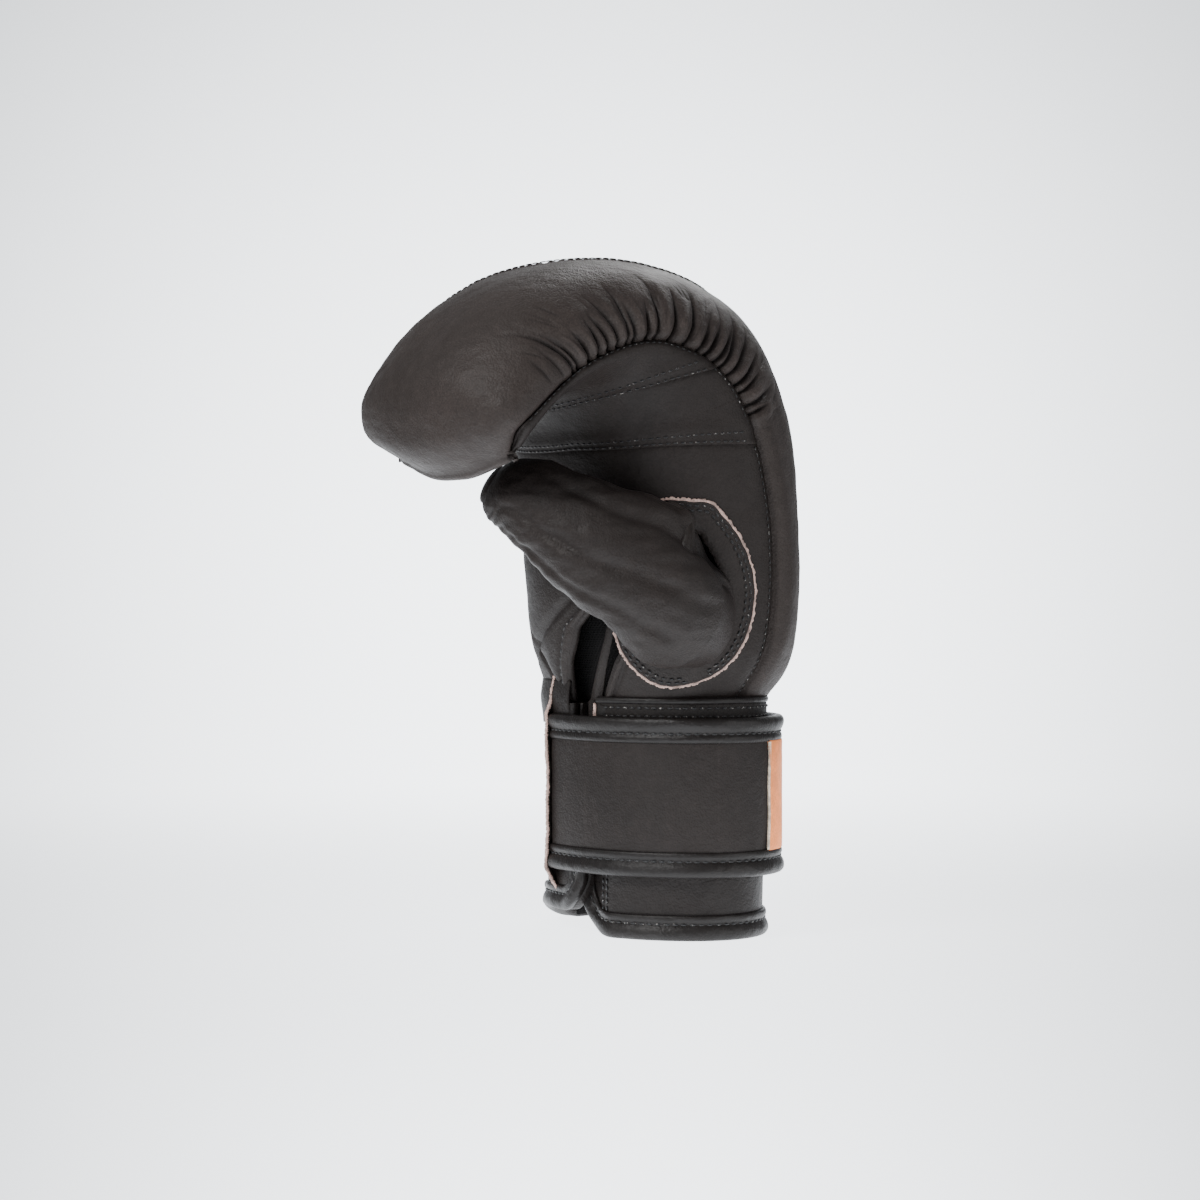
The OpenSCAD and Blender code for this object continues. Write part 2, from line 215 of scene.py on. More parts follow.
def seam_length(u):
    return np.interp(u, U_FINE, SEAM_RUN)


def round_length(u, x, palm=False):
    """Distance round a section from the thumb-side seam, x from 0 to 180, and the whole way across."""
    rows, angles = 90, np.arange(181.0)
    p = section(MITT, np.linspace(0, TIP, rows + 1)[:, None], (360 - angles if palm else angles)[None, :])
    steps = np.cumsum(np.linalg.norm(np.diff(p, axis=1), axis=2), axis=1)
    run = np.concatenate([np.zeros((rows + 1, 1)), steps], axis=1)
    iu = np.clip(np.asarray(u) / TIP * rows, 0, rows - 0.001)
    ix = np.clip(np.asarray(x), 0, 179.999)
    a, b = iu.astype(int), ix.astype(int)
    fa, fb = iu - a, ix - b
    d = ((1 - fa) * (1 - fb) * run[a, b] + fa * (1 - fb) * run[a + 1, b]
         + (1 - fa) * fb * run[a, b + 1] + fa * fb * run[a + 1, b + 1])
    return d, (1 - fa) * run[a, -1] + fa * run[a + 1, -1]


def spread(*stretches):
    """Values from joined stretches, each (from, to, count)."""
    return np.unique(np.concatenate([np.linspace(*s) for s in stretches]))


def across(count):
    """Angles over half a section, closer together at the seams."""
    x = np.linspace(0, 1, count)
    return 180 * (x - 0.45 / (2 * math.pi) * np.sin(2 * math.pi * x))


# ---- Meshes ----

def add_mesh(name, verts_mm, faces, material, **attributes):
    mesh = bpy.data.meshes.new(name)
    mesh.from_pydata([tuple(v) for v in (np.asarray(verts_mm) + SHIFT) * MM], [], faces)
    mesh.validate()
    mesh.polygons.foreach_set("use_smooth", [True] * len(mesh.polygons))
    for key, values in attributes.items():
        layer = mesh.attributes.new(key, "FLOAT", "POINT")
        layer.data.foreach_set("value", np.asarray(values, np.float32).ravel())
    mesh.update()
    obj = bpy.data.objects.new(name, mesh)
    bpy.context.scene.collection.objects.link(obj)
    obj.data.materials.append(material)
    return obj


def grid_faces(rows, cols, wrap=False, keep=None, flip=False):
    faces = []
    for i in range(rows - 1):
        for j in range(cols if wrap else cols - 1):
            if keep is None or keep[i, j]:
                k = (j + 1) % cols
                f = (i * cols + j, i * cols + k, (i + 1) * cols + k, (i + 1) * cols + j)
                faces.append(f[::-1] if flip else f)
    return faces


def grid_piece(name, points, material, wrap=False, keep=None, flip=False, thick=0.0, caps=(), **attributes):
    """A sheet through a grid of points, made thick inwards. caps closes the first or last row."""
    rows, cols = points.shape[:2]
    verts = points.reshape(-1, 3)
    faces = grid_faces(rows, cols, wrap, keep, flip)
    for end in caps:
        base = len(verts)
        verts = np.vstack([verts, points[end], points[end].mean(0)])
        for key, values in attributes.items():
            edge = np.asarray(values)[end]
            attributes[key] = np.concatenate([np.ravel(values), edge, edge[:1]])
        for j in range(cols):
            f = (base + j, base + (j + 1) % cols, base + cols)
            faces.append(f if (end == -1) != flip else f[::-1])
    obj = add_mesh(name, verts, faces, material, **attributes)
    if keep is not None:
        # Points that lie on each other are joined, and those that no face uses are dropped
        bm = bmesh.new()
        bm.from_mesh(obj.data)
        bmesh.ops.remove_doubles(bm, verts=bm.verts, dist=1e-6)
        bmesh.ops.delete(bm, geom=[v for v in bm.verts if not v.link_faces], context="VERTS")
        bm.to_mesh(obj.data)
        bm.free()
    if thick:
        modifier = obj.modifiers.new("Thickness", "SOLIDIFY")
        modifier.thickness, modifier.offset = thick * MM, -1
        bpy.context.view_layer.update()
        graph = bpy.context.evaluated_depsgraph_get()
        shaped = bpy.data.meshes.new_from_object(obj.evaluated_get(graph))
        obj.modifiers.clear()
        obj.data = shaped
    return obj


def tube(name, path, size, normals, material, sides=8, closed=False):
    """A cord or roll along a path. size is its half width and half height, normals its way up."""
    n = len(path)
    tangent = unit(np.roll(path, -1, 0) - np.roll(path, 1, 0) if closed else np.gradient(path, axis=0))
    side = unit(np.cross(tangent, normals))
    up = unit(np.cross(side, tangent))
    wide, tall = (np.broadcast_to(half, n)[:, None, None] for half in size)
    a = np.linspace(0, 2 * np.pi, sides, endpoint=False)[None, :, None]
    ring = path[:, None] + wide * np.cos(a) * side[:, None] + tall * np.sin(a) * up[:, None]
    if closed:
        faces = [tuple(v % (n * sides) for v in face) for face in grid_faces(n + 1, sides, wrap=True)]
        return add_mesh(name, ring.reshape(-1, 3), faces, material)
    return grid_piece(name, ring, material, wrap=True, caps=(0, -1))


class Thread:
    """Stitches of one body, gathered into one mesh."""
    SIDES, RINGS = 6, 5
    ENDS = [tuple(range(SIDES))[::-1], tuple(range((RINGS - 1) * SIDES, RINGS * SIDES))]
    FACES = grid_faces(RINGS, SIDES, wrap=True) + ENDS

    def __init__(self, name, material):
        self.name, self.material, self.verts, self.faces = name, material, [], []

    def row(self, path, normals, pitch=3.3, length=2.5, width=0.42, height=0.36, sink=0.05, twist=0.0):
        """Stitches along a path. twist turns each one aside, in radians."""
        normals, run = np.broadcast_to(normals, path.shape), run_along(path)
        for at in np.arange(pitch / 2, run[-1], pitch):
            at = at + rng.uniform(-0.12, 0.12)
            start, end, up = (np.array([np.interp(at + o, run, column) for column in curve.T])
                              for curve, o in ((path, -0.6), (path, 0.6), (normals, 0.0)))
            up = unit(up)
            along = unit(end - start)
            along = unit(along + math.tan(twist) * unit(np.cross(along, up)))
            side = unit(np.cross(along, up))
            size = rng.uniform(0.92, 1.06)
            middle = (start + end) / 2 + up * (height * 0.5 - sink)
            self.slug(middle, along * length / 2 * size, side * width, up * height)

    def slug(self, middle, along, side, up):
        """One stitch: a blunt rod that sinks at both ends."""
        base = len(self.verts)
        for i in range(self.RINGS):
            x = -math.cos(math.pi * (i + 0.5) / self.RINGS)
            r = math.sqrt(1 - x ** 4)
            axis = middle + along * x + up * (-0.45 * x * x)
            for j in range(self.SIDES):
                a = 2 * math.pi * j / self.SIDES
                self.verts.append(axis + side * (r * math.cos(a)) + up * (r * math.sin(a)))
        self.faces += [tuple(base + v for v in face) for face in self.FACES]

    def make(self):
        return add_mesh(self.name, np.array(self.verts), self.faces, self.material)


# ---- Looks ----

class Look:
    """Nodes of a material or of the world. Inputs that are sockets are linked, and others are set."""

    def __init__(self, owner):
        owner.use_nodes = True
        self.owner, self.tree = owner, owner.node_tree
        nodes = self.tree.nodes
        self.shader = nodes.get("Principled BSDF") or nodes["Background"]
        self.coordinates = self.node("ShaderNodeTexCoord").outputs
        self.where = self.coordinates["Object"]

    def node(self, kind, inputs=None, **settings):
        node = self.tree.nodes.new(kind)
        for key, value in settings.items():
            setattr(node, key, value)
        for key, value in (inputs or {}).items():
            self.plug(node.inputs[key], value)
        return node

    def plug(self, socket, value):
        if isinstance(value, bpy.types.NodeSocket):
            self.tree.links.new(value, socket)
        elif isinstance(value, tuple) and socket.type == "RGBA":
            socket.default_value = (*value, 1)
        else:
            socket.default_value = value

    def noise(self, scale, detail=2.0, roughness=0.5):
        inputs = {"Vector": self.where, "Scale": scale, "Detail": detail, "Roughness": roughness}
        return self.node("ShaderNodeTexNoise", inputs).outputs["Fac"]

    def cells(self, scale, randomness=1.0, feature="F1"):
        inputs = {"Vector": self.where, "Scale": scale, "Randomness": randomness}
        return self.node("ShaderNodeTexVoronoi", inputs, feature=feature).outputs["Distance"]

    def waves(self, scale, axis):
        inputs = {"Vector": self.where, "Scale": scale, "Distortion": 0.6}
        return self.node("ShaderNodeTexWave", inputs, bands_direction=axis).outputs["Fac"]

    def span(self, value, low, high, to_low=0.0, to_high=1.0, **settings):
        inputs = {"Value": value, "From Min": low, "From Max": high, "To Min": to_low, "To Max": to_high}
        return self.node("ShaderNodeMapRange", inputs, **settings).outputs["Result"]

    def math(self, operation, a, b=0.0):
        return self.node("ShaderNodeMath", {0: a, 1: b}, operation=operation).outputs[0]

    def vector(self, operation, output, *values):
        node = self.node("ShaderNodeVectorMath", dict(enumerate(values)), operation=operation)
        return node.outputs[output]

    def mix(self, share, a, b):
        return self.node("ShaderNodeMix", {0: share, 6: a, 7: b}, data_type="RGBA").outputs[2]

    def tint(self, colour, toward, value, *limits):
        """Colour moved toward another as a value goes from low to high."""
        return self.mix(self.span(value, *limits), colour, toward)

    def attribute(self, name):
        return self.node("ShaderNodeAttribute", attribute_name=name).outputs["Fac"]

    def bump(self, height, depth_mm, below=None):
        inputs = {"Height": height, "Distance": depth_mm * MM, "Strength": 1.0}
        if below is not None:
            inputs["Normal"] = below
        return self.node("ShaderNodeBump", inputs).outputs["Normal"]

    def done(self, **inputs):
        for key, value in inputs.items():
            self.plug(self.shader.inputs[key.replace("_", " ")], value)
        return self.owner


def new_look(name):
    return Look(bpy.data.materials.new(name))


def toned(colour, by):
    return tuple(c * by for c in colour)


def leather(name, tone, rough=0.55, grain=0.08, level=0.2):
    """Matte hide: fine pebbled grain, cloudy dye, lighter rubbed ridges and edges, and shade painted into
    creases.
    """
    look = new_look(name)
    colour = look.tint(toned(tone, 0.84), toned(tone, 1.14), look.noise(26, 3), 0.3, 0.7)
    colour = look.tint(colour, toned(tone, 1.5), look.noise(210, 3), 0.42, 0.72, 0, 0.35)
    worn = look.span(look.node("ShaderNodeNewGeometry").outputs["Pointiness"], 0.515, 0.56)
    rubbed = look.math("MAXIMUM", look.math("MULTIPLY", worn, 0.5), look.attribute("ridge"))
    rubbed = look.math("MULTIPLY", rubbed, look.span(look.noise(420, 2), 0.3, 0.65, 0.35, 1.0))
    colour = look.mix(look.math("MULTIPLY", rubbed, 0.5), colour, toned(tone, 2.2))
    # Painted shade, darkest in the creases and hollows that the mesh marks
    colour = look.mix(look.attribute("crease"), colour, toned(tone, 0.08))
    pebbles = look.cells(1300)
    colour = look.tint(colour, toned(tone, 0.62), pebbles, 0.35, 0.75, 0, 0.4)
    pebbled = look.bump(look.math("MULTIPLY", pebbles, -1.0), grain * 1.6)
    pores = look.bump(look.noise(2600, 2), grain, pebbled)
    lines = look.bump(look.cells(430, 1.0, "F2"), grain * 2.2, pores)
    creased = look.bump(look.noise(330, 4, 0.62), grain * 2.2, lines)
    shine = look.span(look.noise(60, 3), 0.3, 0.7, rough - 0.05, rough + 0.07)
    return look.done(Base_Color=colour, Roughness=shine, Normal=creased, Specular_IOR_Level=level)


def raw_edge(name, tone):
    """Cut edge of hide: pale, fibrous, with darker specks."""
    look = new_look(name)
    fibres = look.noise(1900, 4, 0.7)
    colour = look.tint(toned(tone, 0.55), toned(tone, 1.2), fibres, 0.35, 0.7)
    colour = look.tint(colour, (0.10, 0.075, 0.068), look.noise(240, 2), 0.5, 0.72, 0, 0.75)
    return look.done(Base_Color=colour, Roughness=0.85, Normal=look.bump(fibres, 0.35))


def waxed_thread(name, painted_sparkle):
    """Black waxed thread, with light glints painted into its colour along its twist."""
    look = new_look(name)
    strands, painted_glints = look.noise(2100, 2), look.noise(1150, 1)
    colour = look.tint((0.004, 0.004, 0.0045), (0.40, 0.37, 0.34), painted_glints, 0.64, 0.70, 0, painted_sparkle)
    return look.done(Base_Color=colour, Roughness=0.42, Normal=look.bump(strands, 0.12))


def woven(name, tone, pitch_mm=0.9):
    """Plain woven lining: crossing threads, slightly uneven."""
    look = new_look(name)
    scale = 1 / (pitch_mm * MM) / 3.2
    weave = look.math("MAXIMUM", look.waves(scale, "Z"), look.waves(scale, "DIAGONAL"))
    fuzz = look.noise(1500, 3)
    colour = look.tint(toned(tone, 0.55), toned(tone, 1.25), weave, 0.2, 1.0)
    colour = look.tint(colour, toned(tone, 1.7), fuzz, 0.4, 0.7, 0, 0.4)
    relief = look.bump(look.math("ADD", weave, look.math("MULTIPLY", fuzz, 0.6)), 0.18)
    return look.done(Base_Color=colour, Roughness=0.9, Normal=relief, Specular_IOR_Level=0.08)


def fastener(name, tone, hooks):
    """Hook tape is rows of stiff hooks, and loop tape is brushed pile."""
    look = new_look(name)
    nap = look.cells(760, 0.15) if hooks else look.noise(1300, 5, 0.75)
    colour = look.tint(toned(tone, 1.8), toned(tone, 0.6), nap, 0.2, 0.6)
    rough = 0.5 if hooks else 0.95
    return look.done(Base_Color=colour, Roughness=rough, Normal=look.bump(nap, 0.5), Sheen_Weight=0.25)


# One hide in lighter and darker copies, set to how lit each part looks: painted light on the hood, painted
# shade on the palm, thumb, strap, cuff and bindings
HIDE = (0.0245, 0.0190, 0.0170)
HOOD_LEATHER = leather("hood leather", toned(HIDE, 1.3))
PALM_LEATHER = leather("palm leather", toned(HIDE, 0.72))
THUMB_LEATHER = leather("thumb leather", toned(HIDE, 0.75), rough=0.5)
CUFF_LEATHER = leather("cuff leather", toned(HIDE, 0.46), rough=0.52)
STRAP_LEATHER = leather("strap leather", toned(HIDE, 0.66), rough=0.56)
BINDING_LEATHER = leather("binding leather", toned(HIDE, 0.32), rough=0.42, grain=0.06, level=0.27)
RAW_EDGE = raw_edge("raw leather edge", (0.62, 0.43, 0.37))
CUT_EDGE = raw_edge("label cut edge", (0.86, 0.72, 0.56))
LABEL_LEATHER = leather("tan label leather", (0.92, 0.27, 0.075), rough=0.5, grain=0.03, level=0.25)
# Dark lining cloth, its tone taken down further as painted shade so that the gap at the slit reads black
LINING_CLOTH = woven("lining cloth", (0.007, 0.0066, 0.0066))
LOOP_TAPE = fastener("loop tape", (0.020, 0.020, 0.022), hooks=False)
HOOK_TAPE = fastener("hook tape", (0.018, 0.018, 0.020), hooks=True)
# Thread with many painted glints, and thread with few
BLACK_THREAD = waxed_thread("black thread", 0.65)
PLAIN_THREAD = waxed_thread("plain black thread", 0.12)


# ---- The cuff's wall ----

STRAP_SHIFT = np.array([1.3, -1.3, 0])
STRAP_IN, STRAP_OUT = 2.1, 4.5
STRAP_Z, STRAP_H, BIND_H = 24.0, 60.0, 9.6
STRAP_MIDDLE = STRAP_Z + STRAP_H / 2
# Angles round the cuff where things start and stop
LABEL_FROM, LABEL_TO = 75.2, -14.0
TAPE_FROM, TAPE_TO = 71, -12
BAND_FROM, BAND_TO = 168, -131
COVER_FROM, COVER_TO = -128, -174.5
ROOT_SEAM = 200.6


def wall_point(angle, out, z, shifted=False):
    """Point at a distance out from the cuff's wall. The strap's wall is shifted a little."""
    a = np.radians(np.asarray(angle, float))
    out = np.asarray(out, float)
    p = np.stack(np.broadcast_arrays((CUFF_A + out) * np.cos(a), -(CUFF_B + out) * np.sin(a), z), -1)
    return p + (STRAP_SHIFT if shifted else 0)


def wall_normal(angle):
    a = np.radians(np.asarray(angle, float))
    return unit(np.stack([np.cos(a) / CUFF_A, -np.sin(a) / CUFF_B, 0 * a], -1))


# ---- Bodies and how pieces are tied to them ----

def to_frame(point_mm):
    return tuple((np.asarray(point_mm, float) + SHIFT) * MM)


def bend(first, second, start, end):
    """Bakes a piece's placing into its mesh. The two bodies and the two points are not used."""
    return lambda piece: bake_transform(piece)


def strap_bend(first, second, *angles):
    return bend(first, second, *(wall_point(angle, STRAP_OUT, STRAP_MIDDLE, True) for angle in angles))


FOLD_AT, FOLD_ALONG = np.array([-24.0, 0, 220]), np.array([-0.68, 0, 0.73])
THUMB_FROM, THUMB_ALONG = np.array([-29.0, -45, 131]), np.array([-0.95, -0.3, 0])
over_fold = bend("hand", "fingers", FOLD_AT - 6 * FOLD_ALONG, FOLD_AT + 12 * FOLD_ALONG)
over_thumb = bend("hand", "thumb", THUMB_FROM + 9 * THUMB_ALONG, THUMB_FROM + 25 * THUMB_ALONG)
over_root = strap_bend("hand", "strap_front", 201, 187)
over_side = strap_bend("strap_front", "strap_side", 149, 131)
over_tab = strap_bend("strap_side", "strap_tab", 86, 70)


def place(piece, tie, nodes=()):
    """Ties a piece to its body or hands it to its tie, and hides the CAD nodes it stands for."""
    if callable(tie):
        tie(piece)
    else:
        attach(piece, tie)
    if nodes:
        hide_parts(*nodes)
    return piece


# ---- Hood ----

class Gather:
    """Pleats drawn into one side seam of the hood: sharp valleys with puffed leather between.

    Each is (place along the seam, length, depth, turn, start from the seam, width).
    """
    FROM, TO = seam_length(3.22), seam_length(6.2)
    LAST = [(TO + 1.5, 32, 2.4, 0.22, 0.0, 0.42), (TO + 7, 14, 0.8, 0.1, 3.0, 0.35),
            (TO + 13, 15, 0.7, 0.0, 5.0, 0.35)]

    def __init__(self, seed):
        draw = np.random.default_rng(seed).uniform
        self.pleats = []
        at = self.FROM
        while at < self.TO:
            share = (at - self.FROM) / (self.TO - self.FROM)
            length = draw(14, 29) * (0.8 + 0.5 * math.sin(math.pi * share))
            self.pleats.append((at, length, draw(1.8, 3.0), draw(-0.06, 0.12) + 0.16 * share ** 3, 0.0,
                                draw(0.3, 0.46)))
            at += draw(3.0, 6.8)
        for _ in range(90):
            at = draw(self.FROM - 8, self.TO + 8)
            share = np.clip((at - self.FROM) / (self.TO - self.FROM), 0, 1)
            self.pleats.append((at, draw(6, 17), draw(0.15, 0.45), draw(-0.2, 0.2) + 0.25 * share ** 4,
                                draw(2, 22), draw(0.22, 0.4)))
        self.pleats += self.LAST

    def relief(self, s, d):
        """Height, rubbed ridge and painted crease shade at a length s along the seam and a distance d from it.
        """
        valley, close, painted_shade = (np.zeros_like(s) for _ in range(3))
        for at, length, depth, turn, start, width in self.pleats:
            run = d - start
            past = np.maximum(run, 0)
            x = s - at - turn * d - 0.004 * d * d
            fade = smooth(-2.5, 1.5, run) * (1 - smooth(0.35, 1.0, run / length))
            narrow = bell(x / (width + 0.006 * past))
            wide = bell(x / (1.5 + 0.05 * past))
            line = bell(x / (1.5 * width + 0.006 * past))
            valley -= depth * fade * (0.62 * narrow + 0.38 * wide)
            # Painted shade along the line of each valley
            painted_shade = np.maximum(painted_shade, fade * line * min(1, depth / 1.3))
            if start == 0:
                close = np.maximum(close, fade * wide)
        reach = smooth(self.FROM - 6, self.FROM, s) * (1 - smooth(self.TO, self.TO + 9, s))
        puff = (1 - close) * reach * bell(np.maximum(d - 4, 0) / 13)
        return valley + 1.2 * puff, puff * smooth(1.5, 5, d), painted_shade


THUMB_SIDE, LITTLE_SIDE = Gather(11), Gather(23)


def crown_line(u):
    return np.interp(u, CROWN[:, 0], CROWN[:, 1])


def round_tip(p, u):
    """The fingertip's lower corners are rounded off."""
    y = p[..., 1]
    share = smooth(6.9, TIP + 0.2, np.asarray(u, float))
    rise = (8.0 * smooth(0, 46, y) + 5.0 * smooth(10, 42, -y)) * share
    inward = -3.2 * smooth(6, 46, y) * share
    return p + np.stack([0.25 * rise, inward, rise], -1)


def tip_rows(last, t):
    """Rows that close the fingertip, from a panel's last row to the line between the two panels."""
    middle = round_tip((section(MITT, TIP, t) + section(MITT, TIP, 360 - t)) / 2, TIP)
    return np.stack([middle + (last - middle) * math.cos(a) + np.array([0.5, 0, -2.0]) * math.sin(a)
                     for a in np.radians([22, 45, 67, 90])])


def hood_surface(u, t):
    """Point of the finished hood, its base normal, how rubbed it is and how much shade is painted into its
    creases.
    """
    p, n = mitt_face(u, t)
    d, whole = round_length(u, t)
    s = seam_length(u)
    edge = np.minimum(d, whole - d)
    near, near_rub, near_crease = THUMB_SIDE.relief(s, d)
    far, far_rub, far_crease = LITTLE_SIDE.relief(s, whole - d)
    lift = near + far - 2.4 * bell(edge / 1.7) + 0.9 * bell((edge - 7) / 5)
    off = p[..., 1] - crown_line(u)
    seam = 1 - smooth(6.9, 7.6, u)
    welt = 0.5 * bell(off / 0.9) - 0.3 * bell((np.abs(off) - 2.2) / 0.9) + 0.3 * bell(off / 9)
    lift = lift + seam * welt
    lift = lift + 0.9 * ripple(p, 34, 1, 1) * smooth(2, 14, edge) + 0.16 * ripple(p, 7.5, 2)
    brow = bell((s - seam_length(6.9)) / 12) * smooth(3, 9, edge)
    lift = lift + 0.3 * brow * ripple(p * np.array([1, 1, 2.4]), 6, 3)
    lift = lift - 0.5 * smooth(0.6, 0, u) - 0.5 * smooth(TIP - 0.4, TIP, u)
    rub = np.clip(near_rub + far_rub, 0, 1) + 0.4 * seam * bell(off / 1.2)
    crease = np.clip(near_crease + far_crease, 0, 1)
    return round_tip(p + n * lift[..., None], u), n, np.clip(rub, 0, 1), crease


def make_hood():
    u, t = np.meshgrid(spread((0, 3, 56), (3, 6.6, 400), (6.6, TIP, 70)), across(132), indexing="ij")
    points, _, rub, crease = hood_surface(u, t)
    points = np.concatenate([points, tip_rows(points[-1], t[-1])])
    rub, crease = (np.concatenate([v, np.zeros((4, v.shape[1]))]) for v in (rub, crease))
    hood = grid_piece("hood", points, HOOD_LEATHER, thick=2.0, ridge=rub, crease=crease)
    place(hood, over_fold,
          ["hood_leather_back", "hood_leather_fingers", "back_foam_firm", "back_foam_soft",
           "finger_foam_firm", "finger_foam_soft"])


# ---- Palm ----

# How far a panel stands out where it is lapped over the one below
LAP = 0.95


def palm_surface(u, x):
    """Point of the palm and its base normal, x from 0 at the thumb-side seam to 180 at the other."""
    p, n = mitt_face(u, 360 - x)
    d, whole = round_length(u, x, palm=True)
    edge = np.minimum(d, whole - d)
    lift = -1.5 * bell(edge / 1.8) + 0.5 * bell((edge - 6) / 4)
    lift = lift + 0.5 * ripple(p, 26, 5, 1) * smooth(2, 10, edge) + 0.14 * ripple(p, 7, 6)
    lift = lift - 0.8 * bell((u - seam_1(x)) / 0.1) - 0.8 * bell((u - seam_2(x)) / 0.08)
    return round_tip(p + n * lift[..., None], u), n


def slit_edges(u):
    """The two edges of the slit, as angles across the palm. They meet at SLIT_TOP."""
    open_by = np.clip((SLIT_TOP - u) / SLIT_TOP, 0, 1)
    middle = np.interp(u, SLIT_U, SLIT_MIDDLE)
    half = np.interp(u, SLIT_U, SLIT_HALF) * np.sqrt(np.clip(open_by * 5, 0, 1))
    return middle - half, middle + half


def in_thumb_hole(u, x):
    half = np.where(u > THUMB_AT[0], THUMB_ABOVE, THUMB_HALF[0])
    return np.hypot((u - THUMB_AT[0]) / half, (x - THUMB_AT[1]) / THUMB_HALF[1]) / THUMB_HOLE <= 1


def heel_fold(p):
    """Creases where the heel of the palm folds beside the slit."""
    y, z = p[..., 1], p[..., 2]
    first = bell((z - 132 + 0.56 * (y + 10)) / 2.2) * smooth(-12, 0, y) * smooth(42, 28, y)
    second = bell((z - 98 - 1.09 * (y - 18)) / 1.9) * smooth(8, 18, y) * smooth(36, 27, y)
    between = bell((z - 100) / 12) * smooth(14, 24, y)
    return -2.0 * first - 1.5 * second - 1.2 * between


def make_palm_lower():
    us = spread((0, SLIT_TOP, 64), (SLIT_TOP, 3.5, 84))
    near, far = slit_edges(us)
    left = near[:, None] * np.linspace(0, 1, 62)[None, :]
    right = far[:, None] + (180 - far[:, None]) * np.linspace(0, 1, 60)[None, :]
    x = np.concatenate([left, right], axis=1)
    u = np.repeat(us[:, None], x.shape[1], axis=1)
    points, n = palm_surface(u, x)
    lift, rub = heel_fold(points), np.zeros_like(u)
    # Rolled lips beside the slit, rubbed along their ridges
    beside_slit = smooth(SLIT_TOP + 0.12, SLIT_TOP - 0.05, u)
    for edge in (near, far):
        gap = np.abs(x - edge[:, None]) * 0.72
        lip = 1.1 * bell((gap - 2.0) / 1.3) - 1.7 * bell(gap / 0.8) - 0.8 * bell((gap - 4.3) / 0.6)
        lift += beside_slit * lip
        rub += 0.8 * beside_slit * bell((gap - 2.2) / 0.8)
    points = points + n * lift[..., None]
    keep = ~in_thumb_hole(u, x)[:-1, :-1]
    keep[us[:-1] < SLIT_TOP - 1e-6, left.shape[1] - 1] = False
    rub = np.clip(rub, 0, 1)
    piece = grid_piece("palm_lower", points, PALM_LEATHER, keep=keep, flip=True, thick=1.7, ridge=rub)
    place(piece, over_fold, ["palm_leather_lower", "palm_foam"])


def make_palm_panel(name, start, end, rows, nodes, close=False):
    """Panel from one station line to another, lapped over the panel below it."""
    share, x = np.meshgrid(np.linspace(0, 1, rows), across(96), indexing="ij")
    u = start(x) + share * (end(x) - start(x))
    points, n = palm_surface(u, x)
    lap = LAP * (1 - smooth(0, 0.5, u - start(x)))
    points = points + n * lap[..., None]
    if close:
        points = np.concatenate([points, tip_rows(points[-1], x[-1])])
    piece = grid_piece(name, points, PALM_LEATHER, flip=True, thick=1.4)
    place(piece, over_fold, nodes)


# ---- Thumb ----

def palm_ring(scale, lift, angles):
    """Ring round the thumb's root, lying on the palm."""
    a = np.radians(angles)
    u = THUMB_AT[0] + np.where(np.cos(a) > 0, THUMB_ABOVE, THUMB_HALF[0]) * scale * np.cos(a)
    x = THUMB_AT[1] + THUMB_HALF[1] * scale * np.sin(a)
    p, n = mitt_face(u, 360 - x)
    return p + n * lift


def palm_normal():
    return mitt_face(THUMB_AT[0], 360 - THUMB_AT[1])[1]


def thumb_ring(row, angles):
    """Section of the stall at one row of its table."""
    a = np.radians(angles)
    depth = np.array([row[0] - row[2], row[1] - row[3], 0.0])
    lean = math.radians(row[6])
    up = math.cos(lean) * np.array([0, 0, 1.0]) + math.sin(lean) * np.cross(unit(depth), [0, 0, 1])
    centre = np.array([(row[0] + row[2]) / 2, (row[1] + row[3]) / 2, row[4]])
    return centre + row[5] * np.cos(a)[:, None] * up + depth / 2 * np.sin(a)[:, None]


# Long folds of the stall: angle at the root, turn towards the tip, depth, width
THUMB_FOLDS = ((330, 40, 2.0, 9), (292, 26, 1.8, 8), (255, -14, 1.5, 7), (222, -30, 1.3, 7))


def thumb_relief(points, a, v):
    """Folds of the stall, and the shade painted into them. a goes round it, and v from its root to its tip."""
    lift = 0.75 * ripple(points * np.array([0.3, 1.0, 2.2]), 11, 31, 2) + 0.14 * ripple(points, 5, 32, 2)
    lift = lift * smooth(0.02, 0.2, v) * (1 - smooth(0.78, 0.92, v))
    # Long folds, and wrinkles under the tip
    for at, drift, depth, width in THUMB_FOLDS:
        fold = bell((a - at - drift * v) / width) * smooth(0.08, 0.25, v) * smooth(0.8, 0.55, v)
        lift = lift - depth * fold
    under = bell((v - 0.76) / 0.08) * bell((a - 205) / 32)
    wrinkle = np.abs(np.sin(v * 62 + 0.05 * a + 2.2 * ripple(points, 9, 34, 1)))
    lift = lift - 0.8 * under * wrinkle ** 3
    # The stall folds back on itself at its root, above the skirt and below it
    hollow = bell((a - 306) / 24) + 0.7 * bell((a - 150) / 30)
    lift = lift - 8.0 * hollow * smooth(0.0, 0.03, v) * smooth(0.15, 0.09, v)
    lift = lift - 6.5 * bell((a - 302) / 24) * smooth(0.5, 0.16, v) * smooth(0.0, 0.06, v)
    lift = lift + 2.4 * bell((a - 326) / 13) * bell((v - 0.17) / 0.03)
    # Painted shade in the wrinkles under the tip and in the hollows at the root
    painted_shade = 0.5 * under * wrinkle ** 10 + 0.7 * hollow * smooth(0.13, 0.08, v)
    return lift, np.clip(painted_shade, 0, 1)


